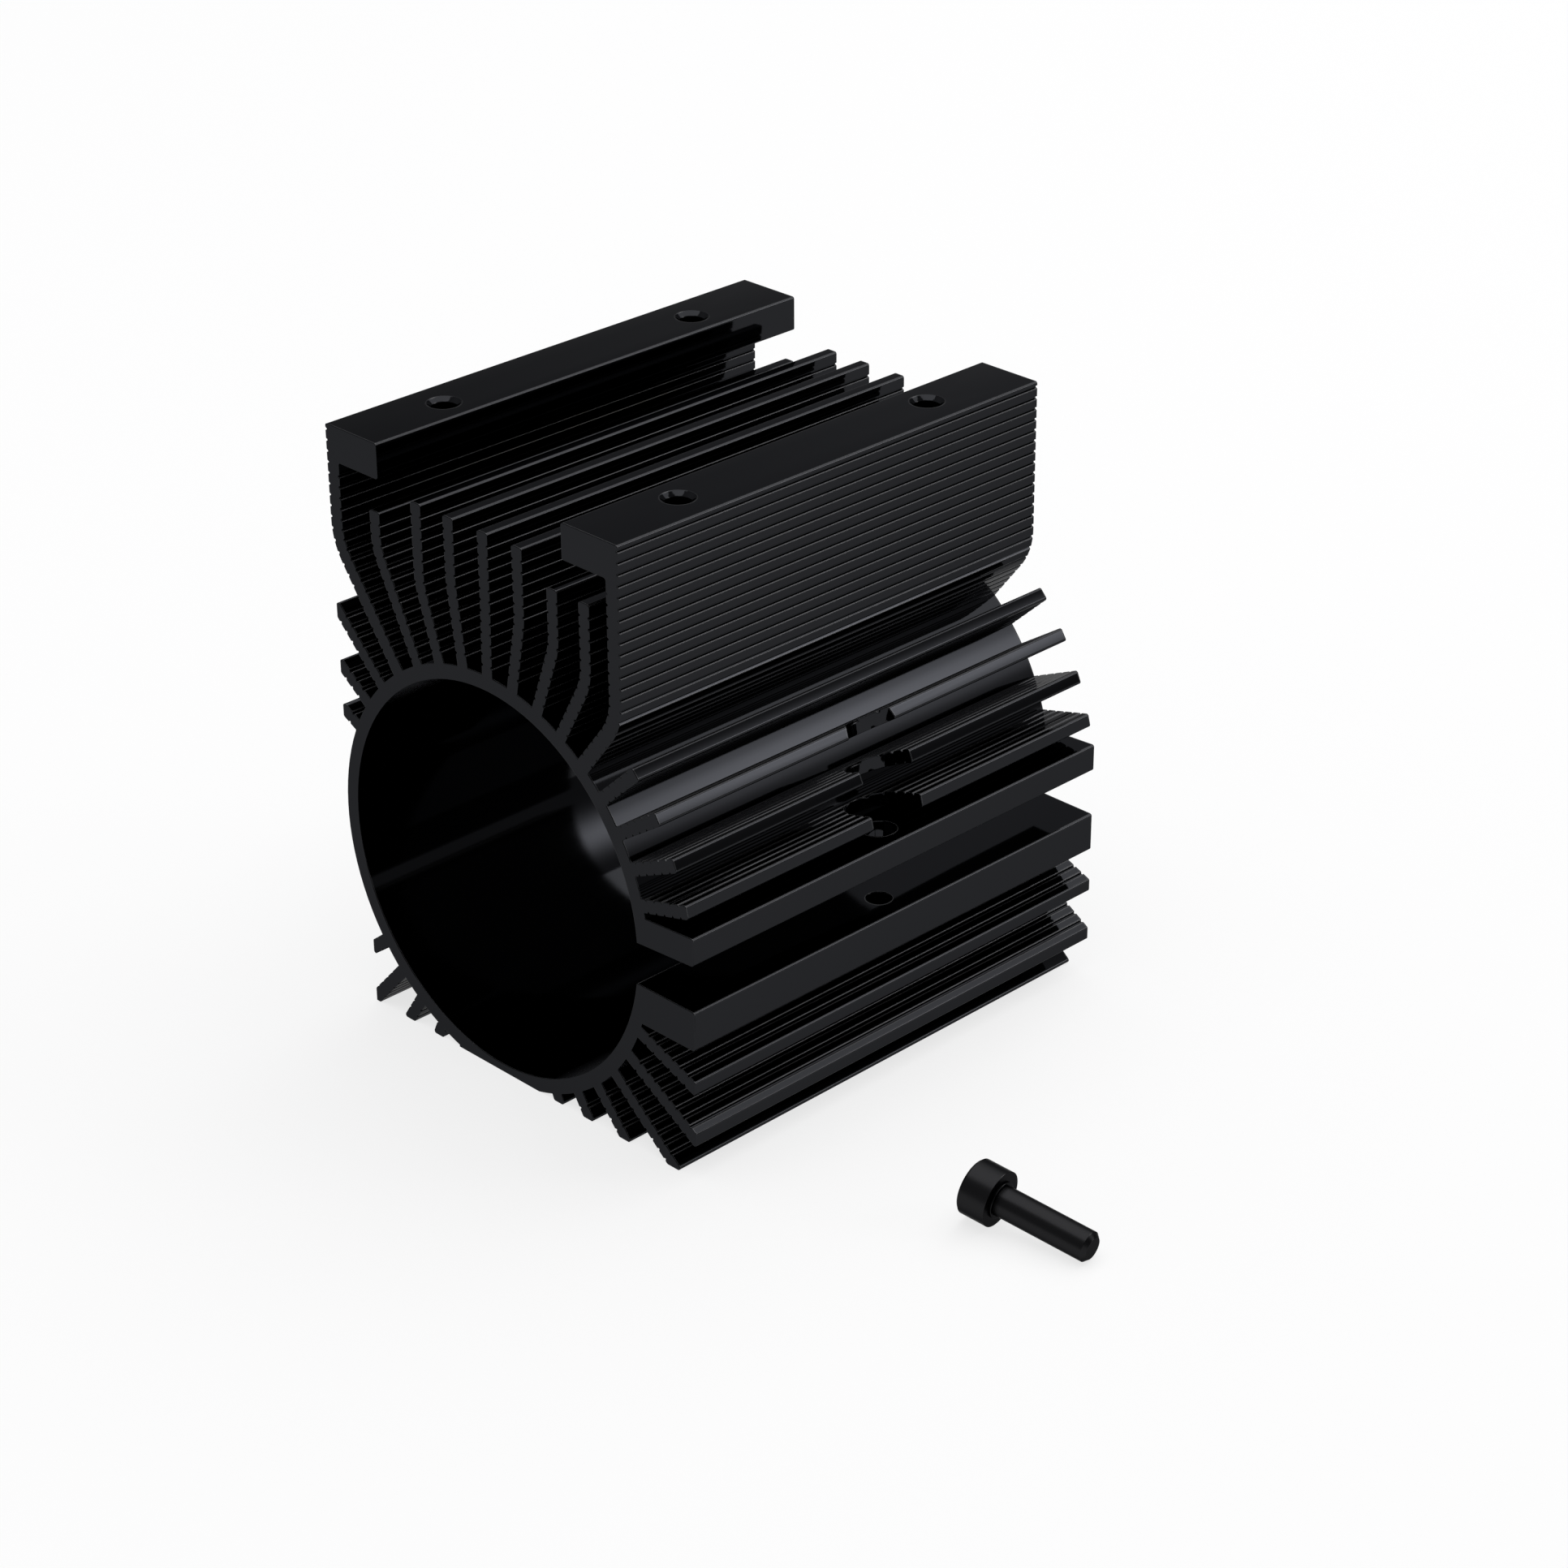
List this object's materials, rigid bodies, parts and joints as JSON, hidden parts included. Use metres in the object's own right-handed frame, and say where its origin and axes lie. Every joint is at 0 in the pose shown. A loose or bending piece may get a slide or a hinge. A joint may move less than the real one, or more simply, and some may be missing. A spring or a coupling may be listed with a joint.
{
  "type": "motor heat sink",
  "caption": "Clamp-on extruded heat sink for a cylindrical motor: split ring with serrated radial fins, upright fins under a fan seat, two clamp flanges and a socket cap screw.",
  "frame": {"origin": "on the motor bore's axis, half way along the sink", "axes": "+Y along the bore and the extrusion, +Z towards the fan seat, +X towards the clamp flanges"},
  "size_m": [0.0834, 0.054, 0.061],
  "materials": {
    "anodised_aluminium": "black anodised, satin",
    "black_screw_steel": "black oxide"
  },
  "bodies": {
    "root": {"heat_sink": "anodised_aluminium", "clamp_screw": "black_screw_steel"}
  },
  "joints": []
}
